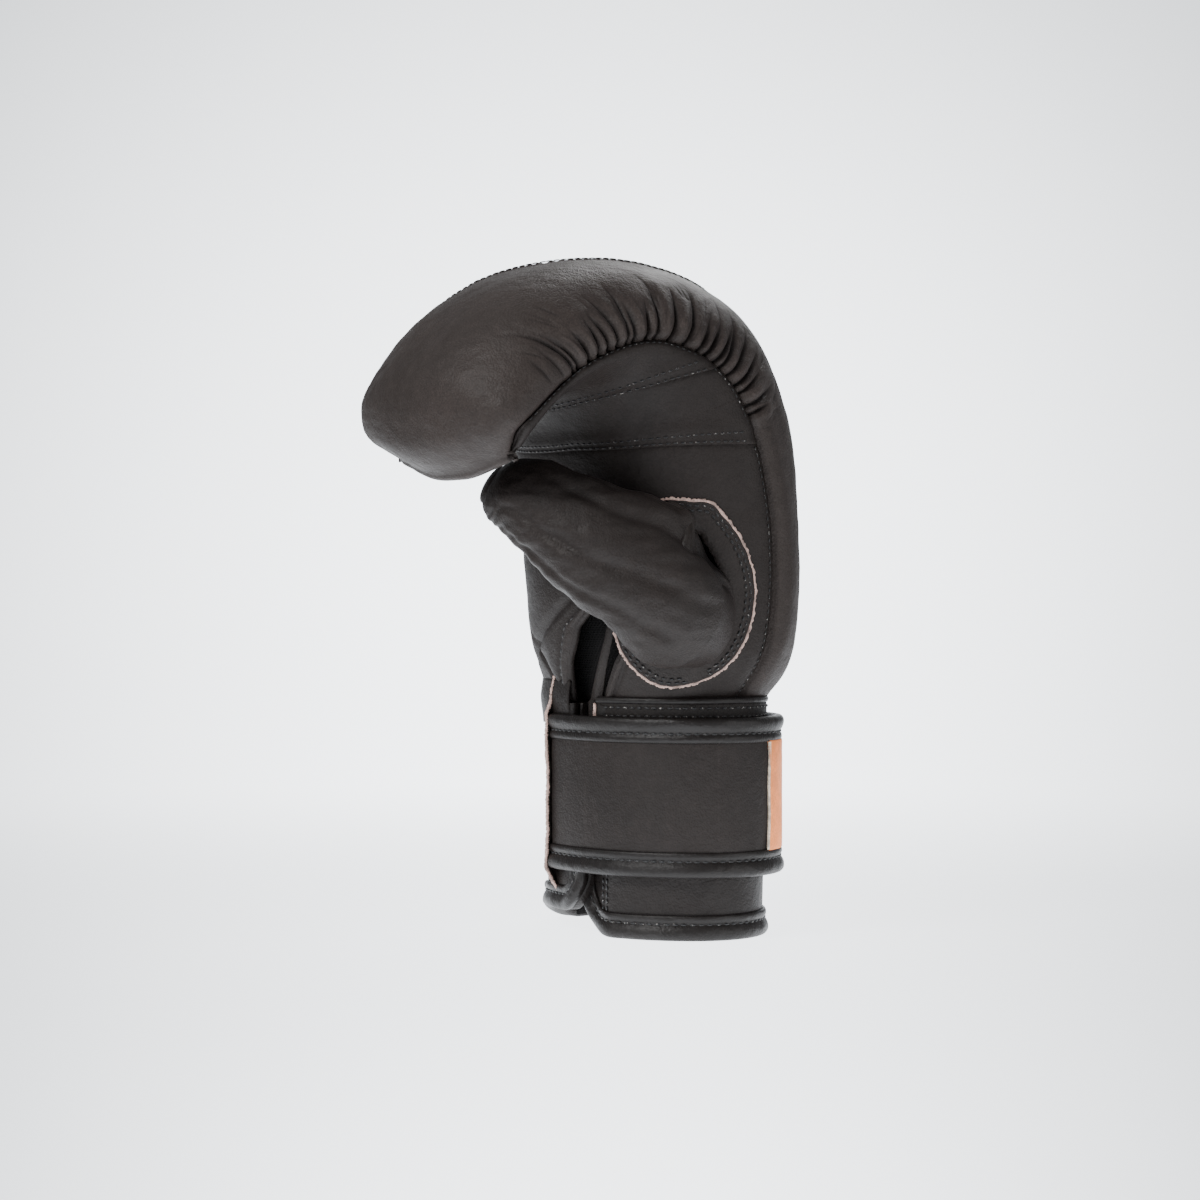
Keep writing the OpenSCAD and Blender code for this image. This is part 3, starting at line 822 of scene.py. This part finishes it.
def make_thumb():
    """Stall of the thumb: gathered in at its root, so it overhangs the skirt above and below."""
    angles = np.linspace(0, 360, 132, endpoint=False)
    foot = 0.95 - 0.34 * bell((angles - 308) / 34) - 0.24 * bell((angles - 150) / 40)
    base, rim = palm_ring(foot, 0.4, angles), palm_ring(foot - 0.02, 2.4, angles)
    rings = np.stack([thumb_ring(row, angles) for row in through(THUMB, np.linspace(0, 6.6, 108)[1:])])
    raised = bell((angles - 135) / 32) * (1 - smooth(0.1, 0.45, np.linspace(0, 1, len(rings))))[:, None]
    rings = rings + raised[..., None] * np.array([-1.5, 0, 9.0])
    climb = [rim + (rings[1] - rim) * share for share in smooth(0, 1, np.linspace(0, 1, 16))[1:-1]]
    middle = rings[-1].mean(0)
    ahead = unit(middle - rings[-6].mean(0))
    dome = [middle + (rings[-1] - middle) * math.cos(a) + ahead * 3.8 * math.sin(a)
            for a in np.radians(np.linspace(8, 86, 13))]
    points = np.concatenate([base[None], rim[None], np.stack(climb), rings[1:], np.stack(dome)])
    n = unit(np.cross(np.roll(points, -1, 1) - np.roll(points, 1, 1), np.gradient(points, axis=0)))
    outward = (n * (points - points.mean(1, keepdims=True))).sum(-1, keepdims=True).mean(1, keepdims=True)
    v, a = np.meshgrid(np.linspace(0, 1, len(points)), angles, indexing="ij")
    lift, painted_shade = thumb_relief(points, a, v)
    points = points + n * np.sign(outward) * lift[..., None]
    piece = grid_piece("thumb_stall", points, THUMB_LEATHER, wrap=True, thick=1.6, caps=(-1,), crease=painted_shade)
    place(piece, over_thumb, ["thumb_leather", "thumb_foam", "thumb_lining"])


def skirt_wave(angles):
    """Uneven cut of the skirt, with a corner at its top."""
    a = np.mod(angles, 360)
    wave = 0.012 * np.sin(np.radians(a * 3 + 40)) + 0.008 * np.sin(np.radians(a * 7))
    return wave + 0.004 * np.sin(np.radians(a * 31)) + 0.07 * bell((a - 333) / 9)


def make_skirt():
    """Skirt of the stall, stitched flat to the palm, and its raw edge."""
    angles = np.linspace(0, 360, 330, endpoint=False)
    wave = skirt_wave(angles)
    rings = ((0.70, 0.3), (0.85, 0.6), (0.96, 0.8), (1.03, 0.75), (1.09, 0.95), (1.14, 0.8), (1.17, 1.15))
    rows = np.stack([palm_ring(scale + wave, lift, angles) for scale, lift in rings])
    piece = grid_piece("thumb_skirt", rows, THUMB_LEATHER, wrap=True, thick=1.2, flip=True)
    place(piece, "hand", ["thumb_flange"])
    fray = rng.uniform(0, 1, len(angles))
    edge = tube("thumb_raw_edge", palm_ring(1.185 + wave + 0.012 * fray, 0.75, angles),
                (0.4 + 0.42 * fray, 0.45 + 0.2 * fray), palm_normal(), RAW_EDGE, closed=True)
    place(edge, "hand")


# ---- Linings and grip ----

LINING_DEPTH = 8.2


def make_linings():
    u, t = np.meshgrid(np.linspace(0, TIP, 90), np.linspace(0, 360, 96, endpoint=False), indexing="ij")
    plain = section(HAND, u, t)
    points = uneven(plain, unit(plain - plain.mean(1, keepdims=True)), (0.5, 17, 41))
    lining = grid_piece("mitt_lining", points, LINING_CLOTH, wrap=True, flip=True, caps=(-1,), thick=0.8)
    place(lining, over_fold, ["hand_lining", "finger_lining"])
    angles = np.linspace(0, 360, 120, endpoint=False)
    a = np.radians(angles)
    wall = wall_point(angles, -LINING_DEPTH, np.linspace(1.5, MITT_Z - 0.5, 40)[:, None])
    wall = uneven(wall, np.stack([np.cos(a), -np.sin(a), 0 * a], -1), (0.4, 14, 42))
    # Open at the slit, and cut back behind the raised corner of the flap
    keep = np.ones((39, 120), bool)
    keep[:, 59:62] = False
    keep[:9, 56:86] = False
    lining = grid_piece("cuff_lining_sheet", wall, LINING_CLOTH, wrap=True, keep=keep, thick=0.8)
    place(lining, "hand", ["cuff_lining"])


def make_grip():
    low, high = (np.array(c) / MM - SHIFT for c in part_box("grip_bar"))
    middle, radius = (low + high) / 2, (high[2] - low[2]) / 2
    y = np.linspace(low[1], high[1], 60)
    size = radius * (1 - 0.04 * np.abs(np.sin(y / 7.0)))
    path = np.stack([np.full(60, middle[0]), y, np.full(60, middle[2])], -1)
    roll = tube("grip_roll", path, (size, size), [0, 0, 1.0], LINING_CLOTH, sides=28)
    place(roll, "hand", ["grip_bar"])


# ---- Cuff ----

MM_PER_DEGREE = 0.82
CUFF_TOP = MITT_Z - 0.6


def radial_tuck(angle, z):
    """The radial flap passes inside the ulnar one low down."""
    return 5.4 * smooth(160, 179, angle) * smooth(78, 50, z)


def ulnar_tuck(angle, z):
    """The ulnar flap's corner turns outwards."""
    return -2.2 * smooth(194, 181, angle) * smooth(23, 10, z)


def swept(name, material, angles, loop, shifted=False, flip=False):
    """A closed loop of (out, z) swept round the cuff."""
    points = wall_point(np.asarray(angles)[:, None], *loop, shifted)
    points = uneven(points, wall_normal(angles)[:, None, :], (0.22, 15, 51), (0.07, 5, 52))
    return grid_piece(name, points, material, wrap=True, flip=flip, caps=(0, -1))


def beside(angles, z, inward, h):
    """The path moved by h across itself, within the wall."""
    a = np.radians(angles)
    metric = np.radians(1) * np.hypot(CUFF_A * np.sin(a), CUFF_B * np.cos(a))
    s = np.concatenate([[0], np.cumsum(np.diff(angles) * (metric[1:] + metric[:-1]) / 2)])
    tangent = unit(np.stack([np.gradient(s), np.gradient(z)], -1))
    over = -inward * tangent[:, 1] / metric
    return angles[:, None] + over[:, None] * h, z[:, None] + inward * tangent[:, :1] * h


# Section of a bound edge: its height from the edge, and how far it stands out
BIND_LOOP = np.array([
    [9.6, 0.2], [8.8, 0.9], [7.6, 0.95], [6.7, 0.55], [6.1, 0.3], [5.5, 0.7], [4.4, 1.35], [3, 1.75],
    [1.6, 1.7], [0.6, 1.15], [0.05, 0.3], [0, -1], [0.4, -2.2], [1.6, -2.9], [4, -3], [7.4, -2.9], [9.3, -1.6]])
BIND_STITCH, PITCH = 6.15, 3.3


def bound(name, thread, angles, z, tie, inward=1, base=0.0, shifted=False, tuck=lambda a, z: 0, nodes=()):
    """Bound edge: a roll along the edge, a dent under its stitches, then a thin lip."""
    h, out = (closed_curve(column, np.arange(3 * len(BIND_LOOP)) / 3) for column in BIND_LOOP.T)
    a, zz = beside(angles, z, inward, h)
    points = wall_point(a, base + out - tuck(a, zz), zz, shifted)
    points = uneven(points, wall_normal(a), (0.16, 9, 53), (0.08, 4, 54))
    piece = grid_piece(name, points, BINDING_LEATHER, wrap=True, caps=(0, -1), flip=inward > 0)
    place(piece, tie, nodes)
    a, zz = (line[:, 0] for line in beside(angles, z, inward, BIND_STITCH))
    thread.row(wall_point(a, base + 0.32 - tuck(a, zz), zz, shifted), wall_normal(a), PITCH, 2.3)


class Flap:
    """Padded flap of the cuff, from the back seam to a slit edge with a rounded lower corner."""

    def __init__(self, back, slit, corner, rise, tuck):
        self.back, self.slit, self.corner, self.rise, self.tuck = back, slit, corner, rise, tuck
        self.span = abs(slit[0] - back) * MM_PER_DEGREE

    def angle(self, share, z):
        """Angle at a share of the way to the slit, whose angles are given at four heights."""
        return self.back + share * (np.interp(z, [0, 24, 60, 89], self.slit) - self.back)

    def lift(self, to_slit):
        """The bottom edge climbs a little towards the slit."""
        return self.rise * smooth(75, 32, to_slit)

    def make(self, name, nodes):
        share, b = np.meshgrid(spread((0, 0.03, 8), (0.03, 0.82, 80), (0.82, 1, 60)),
                               np.linspace(0, 2 * math.pi, 120, endpoint=False), indexing="ij")
        to_slit, r = (1 - share) * self.span, self.corner
        arc = np.sqrt(np.clip(r ** 2 - np.clip(r - to_slit, 0, r) ** 2, 0, None))
        bottom = r - arc + self.lift(to_slit)
        z = bottom + (CUFF_TOP - bottom) / 2 * (1 + powered(np.sin(b), 0.3))
        thin = 0.3 + 0.7 * np.sqrt(np.clip(to_slit / 4.5, 0, 1))
        out = -4.0 + 4.0 * thin * powered(np.cos(b), 0.45)
        a = self.angle(share, z)
        points = wall_point(a, out - self.tuck(a, z), z)
        points = uneven(points, wall_normal(a), (0.35, 16, 61), (0.1, 6, 62))
        piece = grid_piece(name, points, CUFF_LEATHER, wrap=True, caps=(0, -1), flip=self.back > 180)
        place(piece, "hand", nodes)

    def edge(self):
        """Angles and heights along the bottom, round the corner and up the slit."""
        turn, r = np.linspace(0, math.pi / 2, 30)[1:], self.corner
        away = np.concatenate([np.linspace(self.span, r, 150), r * (1 - np.sin(turn)), np.zeros(30)])
        side = np.linspace(r, CUFF_TOP - self.rise, 31)[1:]
        z = np.concatenate([np.zeros(150), r * (1 - np.cos(turn)), side]) + self.lift(away)
        return self.angle(1 - away / self.span, z), z


def make_cuff(thread):
    radial = Flap(0.25, [198, 190, 174, 168], 31.0, 0.0, radial_tuck)
    ulnar = Flap(359.75, [176, 177, 181, 184], 15.0, 8.0, ulnar_tuck)
    for name, inward, flap in (("radial", 1, radial), ("ulnar", -1, ulnar)):
        flap.make("cuff_" + name, ["cuff_leather_" + name, "cuff_foam_" + name])
        bound("cuff_binding_roll_" + name, thread, *flap.edge(), "hand", inward, 0.25, tuck=flap.tuck,
              nodes=["cuff_binding_" + name])
    # Rolled seam to the mitt, and the stitched band under it
    angles = np.concatenate([np.linspace(BAND_FROM, 0, 140), np.linspace(0, BAND_TO, 110)[1:]])
    out, z = rounded(1.6, 1.4, 20, 2.2)
    roll = swept("cuff_welt_roll", BINDING_LEATHER, angles, (0.5 + out, MITT_Z + 1 + z), flip=True)
    place(roll, "hand", ["cuff_welt"])
    out, z = rounded(1.1, 3.6, 28, 5.0)
    band = swept("cuff_seam_band", CUFF_LEATHER, angles, (0.4 + out, 85.6 + z), flip=True)
    place(band, "hand")
    for height in (87.4, 84.2):
        thread.row(wall_point(angles, 1.55, height), wall_normal(angles), 3.0, 2.2)
    # On the little-finger side smooth leather runs over the joint
    side, z = np.linspace(COVER_FROM, COVER_TO, 58), np.linspace(80, 97, 18)[:, None]
    cover = wall_point(side, 0.5 + 1.1 * bell((z - 90) / 6), z)
    place(grid_piece("cuff_joint_cover", cover, CUFF_LEATHER, thick=1.2, flip=True), "hand")
    # Cut edge of the band beside the slit
    fray = rng.uniform(0, 1, 30)
    a = BAND_FROM + 0.6 + 0.5 * fray
    path = wall_point(a, 1.9, np.linspace(82, 88.5, 30))
    place(tube("band_cut_edge", path, (0.6 + 0.3 * fray, 0.4), wall_normal(a), RAW_EDGE), "hand")
    z = np.linspace(9.5, 26, 30)
    for angle in (164.0, 167.2):
        thread.row(wall_point(angle, 0.1 - radial_tuck(angle, z), z), wall_normal(angle), 2.6, 2.0)
    back = wall_point(0, 0.15, np.linspace(2, 83, 60))
    for y in (1.6, -1.6):
        thread.row(back + [0, y, 0], wall_normal(0), PITCH, 2.4)


# ---- Strap ----

# Each stretch: name, first and last angle, its tie, and the node that it stands for
STRAP_PARTS = [("root", 200, 174, over_root, "strap_front"), ("front", 174, 109, over_side, "strap_side"),
               ("side", 109, 44, over_tab, "strap_tab"), ("tab", 44, -15, "strap_tab", None)]


def strap_face(z):
    """How far the strap's face stands out at a height: pillowed between its bound edges."""
    x = (z - STRAP_MIDDLE) / (STRAP_H / 2 - BIND_H + 1)
    return 0.6 * np.sqrt(np.clip(1 - np.abs(x) ** 3, 0, 1))


def make_strap():
    for name, start, end, tie, node in STRAP_PARTS:
        count = int(abs(start - end) / 0.9)
        angles = np.linspace(start, end, count)
        out, z = rounded(1.2, STRAP_H / 2 - 0.8, 120, 8.0)
        z = STRAP_MIDDLE + z
        out = STRAP_IN + 1.2 + out + np.where(out > 0, strap_face(z) - 0.25, 0)
        panel = swept("strap_panel_" + name, STRAP_LEATHER, angles, (out, z), True, flip=True)
        place(panel, tie, [node] if node else ())
        thread = Thread("strap_stitches_" + name, PLAIN_THREAD)
        for edge, height, inward in (("low", STRAP_Z, -1), ("high", STRAP_Z + STRAP_H, 1)):
            bound("strap_roll_%s_%s" % (edge, name), thread, angles, np.full(count, height), tie, inward,
                  STRAP_OUT + 0.05, True, nodes=[node + "_bindings"] if node else ())
        place(thread.make(), tie)


def make_root_seam(thread):
    """Raw edge of the seam that holds the strap's root, and the lap beside it."""
    z = np.linspace(15.5, 98.5, 260)
    angles = ROOT_SEAM + 0.8 * np.sin(z / 11.0) + 0.45 * np.sin(z / 3.7 + 1) + 0.22 * np.sin(z / 1.3)
    out = np.interp(z, [15, 19, 24, 84, 89, 98], [1.6, 4.0, 6.5, 6.5, 4.6, 3.2])
    fray = rng.uniform(0, 1, 260)
    size = 0.6 + 0.55 * fray, 0.5 + 0.35 * fray
    edge = tube("strap_root_raw_edge", wall_point(angles, out, z, True), size, wall_normal(angles), RAW_EDGE)
    place(edge, "hand", ["strap_root_seam"])
    lap = np.linspace(0, 1, 14)[:, None]
    lapped = wall_point(angles + 0.2 + 4.6 * lap, out - 0.3 - 3.6 * lap * lap, z, True)
    place(grid_piece("strap_root_lap", lapped, STRAP_LEATHER, thick=1.1), "hand")
    thread.row(wall_point(angles + 2.0, out - 0.75, z, True), wall_normal(angles), PITCH, 2.3)


def make_label():
    """Plain tan label, and its cut edges."""
    out, z = rounded(0.65, (STRAP_H - 2 * BIND_H) / 2 + 0.4, 60, 9.0)
    label = swept("label", LABEL_LEATHER, np.linspace(LABEL_FROM, LABEL_TO, 110),
                  (STRAP_OUT + 0.45 + out, STRAP_MIDDLE + z), True)
    place(label, over_tab, ["label_patch"])
    half = STRAP_H / 2 - BIND_H
    z = STRAP_MIDDLE + np.linspace(-half, half, 70)
    wave = LABEL_FROM + 0.2 + 0.35 * np.sin(z / 4.1) + 0.5 * np.sin(z / 15)
    edge = tube("label_cut_edge", wall_point(wave, STRAP_OUT + 0.6, z, True),
                (0.55 + 0.15 * rng.uniform(0, 1, 70), 0.62), wall_normal(wave), CUT_EDGE)
    place(edge, over_tab)
    z = STRAP_MIDDLE + np.linspace(1 - half, half - 1, 40)
    end = wall_point(LABEL_TO - 0.1, STRAP_OUT + 0.55, z, True)
    edge = tube("label_end_edge", end, (0.5, 0.6), wall_normal(LABEL_TO - 0.1), CUT_EDGE)
    place(edge, over_tab)


def make_tapes():
    angles = np.linspace(TAPE_FROM, TAPE_TO, 90)
    out, z = rounded(0.42, 17.0, 40, 8.0)
    hooks = swept("hook_tape", HOOK_TAPE, angles, (STRAP_IN - 0.35 + out, STRAP_MIDDLE + z), True)
    place(hooks, over_tab, ["hook_patch"])
    loops = swept("loop_tape", LOOP_TAPE, angles, (0.75 + out, STRAP_MIDDLE + z))
    place(loops, "hand", ["loop_patch"])


# ---- The slit's tongue and rolled lips ----

def slit_point(u, x, deep):
    p, n = mitt_face(u, 360 - x)
    return p - n * np.asarray(deep)[..., None]


def make_slit(thread):
    # The tongue goes on down the cuff, between the two flaps
    lap = np.linspace(0, 1, 16)
    arch = np.sin(math.pi * lap)
    low = wall_point(167.5 + 11.0 * lap, -2.6 - 1.2 * arch, np.linspace(30, MITT_Z, 40)[:, None])
    u = np.linspace(0, 1.42, 60)[1:, None]
    start = np.interp(u, [0, 0.7, 1.2, 1.42], [81.4, 74.8, 69.0, 66.0])
    end = np.interp(u, [0, 0.7, 1.2, 1.42], [88.5, 79.8, 73.0, 68.5])
    high = slit_point(u, start + (end - start) * lap, 2.0 - 0.9 * arch + 0.8 * u)
    tongue = grid_piece("slit_tongue", np.concatenate([low, high]), PALM_LEATHER, thick=1.2, flip=True)
    place(tongue, "hand", ["slit_gusset"])
    us = np.linspace(0.0, SLIT_TOP - 0.03, 60)
    near, far = slit_edges(us)
    for name, edge, side in (("radial", near, -1), ("ulnar", far, 1)):
        lip = tube("slit_lip_" + name, slit_point(us, edge + side * 1.6, 1.75), (1.8, 1.6),
                   mitt_face(us, 360 - edge)[1], PALM_LEATHER, sides=14)
        place(lip, "hand")
    shown = us < 1.3
    path, n = palm_surface(us[shown], far[shown] + 4.6)
    thread.row(path + n * 0.15, n, PITCH, 2.3)


# ---- Seams ----

def crown_path(u):
    """Points on the finished hood along the crown seam, and their normals."""
    share = np.clip(-crown_line(u) / through(MITT, u)[:, 6], -0.999, 0.999)
    t = np.degrees(np.arccos(powered(share, 1 / FULLNESS)))
    return hood_surface(u, t)[:2]


def make_seams():
    folding = Thread("mitt_stitches", BLACK_THREAD)
    steady = Thread("hand_stitches", BLACK_THREAD)
    folding.row(*crown_path(np.linspace(0.12, CROWN_END, 500)), 2.7, 3.0, 0.42, 0.27, sink=0.15, twist=0.4)
    for x in (1.4, 178.6):
        p, n = palm_surface(np.linspace(0.05, CROWN_END, 420), x)
        folding.row(p + n * 0.1, n, 2.7, 1.7, 0.3, 0.26)
    x = np.linspace(4, 176, 200)
    for seam, gap in ((seam_1, 0.13), (seam_2, 0.2)):
        for off in (0.02, gap):
            p, n = palm_surface(seam(x) - 0.05 + off, x)
            folding.row(p + n * (LAP * (1 - smooth(0, 0.5, off)) + 0.02), n, 2.8, 1.8, 0.32, 0.28)
    angles = np.linspace(-150, 190, 260)
    for scale in (1.115, 1.045):
        steady.row(palm_ring(scale + skirt_wave(angles), 0.95, angles), palm_normal(), 3.0, 2.0)
    return folding, steady


# ---- Building it ----

make_hood()
make_palm_lower()
make_palm_panel("palm_middle", lambda x: seam_1(x) - 0.06, lambda x: seam_2(x) + 0.02, 44,
                ["palm_leather_middle"])
make_palm_panel("palm_fingers", lambda x: seam_2(x) - 0.05, lambda x: TIP, 120,
                ["palm_leather_fingers", "finger_palm_foam"], close=True)
make_thumb()
make_skirt()
make_linings()
make_grip()
mitt_thread, hand_thread = make_seams()
make_cuff(hand_thread)
make_strap()
make_root_seam(hand_thread)
make_label()
make_tapes()
make_slit(hand_thread)
place(mitt_thread.make(), over_fold)
place(hand_thread.make(), "hand")


# ---- Floor, light and camera ----

AZIMUTH = math.radians(-38)
RIGHT = np.array([math.cos(AZIMUTH), math.sin(AZIMUTH), 0])
BACK = np.array([math.sin(AZIMUTH), -math.cos(AZIMUTH), 0])
UP = np.array([0, 0, 1.0])
TARGET = -21.1 * RIGHT + 128 * UP
CAMERA_AT = TARGET + 1050 * BACK
LENS, SENSOR = 80.4, 36.0
PALE = (0.925, 0.96, 1.0)
# Backdrop: brightness far from the pool of light and added within it, and how quickly that fades
DIM, POOL, FADE = 0.34, 4.8, 26.0
FLOOR_RADIUS = 40


def pool_of_light(look, direction):
    """Brightness of the backdrop: a soft pool round the line through the glove."""
    ahead = look.vector("DOT_PRODUCT", "Value", direction, tuple(-BACK))
    away = look.math("MULTIPLY", look.math("SUBTRACT", ahead, 1.0), FADE)
    return look.math("ADD", look.math("MULTIPLY", look.math("EXPONENT", away), POOL), DIM)


def make_floor():
    """Pale floor that takes the glove's shadow, with a painted pool of light that glows like the backdrop:
    partly near the glove and wholly further away.
    """
    look = new_look("pale floor")
    distance = look.vector("LENGTH", "Value", look.where)
    share = look.span(distance, 0.15, 0.9, 0.65, interpolation_type="SMOOTHSTEP")
    to_pool = look.vector("SUBTRACT", "Vector", look.where, to_frame(CAMERA_AT * [1, 1, 0]))
    direction = look.vector("NORMALIZE", "Vector", to_pool)
    look.done(Base_Color=toned(PALE, 0.8), Roughness=0.95)
    glow = look.node("ShaderNodeEmission", {"Color": PALE, "Strength": pool_of_light(look, direction)})
    both = look.node("ShaderNodeMixShader", {0: share, 1: look.shader.outputs[0], 2: glow.outputs[0]})
    look.plug(look.tree.nodes["Material Output"].inputs["Surface"], both.outputs[0])
    bpy.ops.mesh.primitive_circle_add(vertices=128, radius=FLOOR_RADIUS, fill_type="NGON")
    floor = bpy.context.object
    floor.name = "floor"
    floor.data.materials.append(look.owner)


def make_world():
    world = bpy.data.worlds.new("studio")
    bpy.context.scene.world = world
    look = Look(world)
    look.done(Color=PALE, Strength=pool_of_light(look, look.coordinates["Generated"]))


def aimed(name, data, at_mm):
    """A lamp or camera that looks at the middle of the glove."""
    obj = bpy.data.objects.new(name, data)
    obj.location = at = to_frame(at_mm)
    obj.rotation_euler = (Vector(to_frame(TARGET)) - Vector(at)).to_track_quat("-Z", "Y").to_euler()
    bpy.context.scene.collection.objects.link(obj)
    return obj


def soft_light(name, at_mm, size_m, watts):
    data = bpy.data.lights.new(name, "AREA")
    data.shape, data.size, data.energy = "DISK", size_m, watts
    aimed(name, data, at_mm)


def make_camera():
    data = bpy.data.cameras.new("camera")
    data.lens, data.sensor_width = LENS, SENSOR
    bpy.context.scene.camera = aimed("camera", data, CAMERA_AT)


make_floor()
make_world()
soft_light("key", TARGET - 650 * RIGHT + 650 * BACK + 700 * UP, 0.42, 12)
soft_light("fill", TARGET + 800 * RIGHT + 500 * BACK + 150 * UP, 0.6, 3)
soft_light("rim", TARGET + 250 * RIGHT - 700 * BACK + 700 * UP, 0.6, 6)
make_camera()
